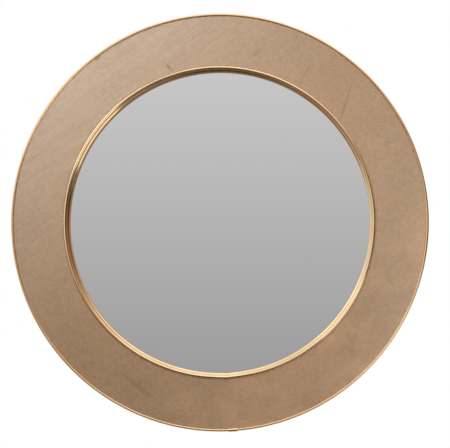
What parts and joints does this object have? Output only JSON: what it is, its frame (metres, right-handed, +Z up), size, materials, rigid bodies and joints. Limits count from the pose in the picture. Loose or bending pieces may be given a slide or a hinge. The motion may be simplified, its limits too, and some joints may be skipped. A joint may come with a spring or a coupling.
{
  "type": "round wall mirror",
  "caption": "Round flat wall mirror in a wide hide-covered ring with polished brass beads at its outer and inner edges, closed by a back panel and hung by swinging wire rings.",
  "frame": {"origin": "centre of the back panel's rear face, on the wall plane", "axes": "+Z up, +Y from the mirror into the wall, +X to the right as seen from the front; the glass faces -Y"},
  "size_m": [0.9139, 0.0426, 0.9146],
  "materials": {
    "hide": "short-napped hide, fine directional nap, matt",
    "brass": "polished and lacquered",
    "brass_fixings": "turned, plain",
    "mirror": "silvered float glass",
    "core_board": "medium-density fibreboard, sealed with dark stain",
    "panel_board": "medium-density fibreboard, plain sanded",
    "zinc_steel": "zinc plated",
    "rubber": "moulded, matt",
    "felt": "pressed felt",
    "foam": "closed-cell foam sheet"
  },
  "bodies": {
    "frame": {"core_ring": "core_board", "hide_cover": "hide", "outer_edge_band": "brass", "edge_joint_sleeve": "brass", "edge_band_screws": "brass_fixings", "inner_trim_ring": "brass", "trim_joint_spigot": "brass_fixings", "inner_trim_screws": "brass_fixings", "glass_gasket": "felt", "mirror_glass": "mirror", "glass_setting_blocks": "rubber", "backing_foam": "foam", "back_panel": "panel_board", "back_panel_screws": "zinc_steel", "wall_bumpers": "rubber", "hanger_strap_left": "zinc_steel", "hanger_strap_right": "zinc_steel", "hanger_screws": "zinc_steel"},
    "left_hanging_ring": {"d_ring_left": "zinc_steel"},
    "right_hanging_ring": {"d_ring_right": "zinc_steel"}
  },
  "joints": [
    {"name": "left_ring_swing", "type": "hinge", "parent": "frame", "child": "left_hanging_ring", "pos_m": [-0.26367, -0.00582, 0.32863], "axis": [1, 0, 0], "range_deg": [0, 180]},
    {"name": "right_ring_swing", "type": "hinge", "parent": "frame", "child": "right_hanging_ring", "pos_m": [0.26367, -0.00582, 0.32863], "axis": [1, 0, 0], "range_deg": [0, 180]}
  ]
}
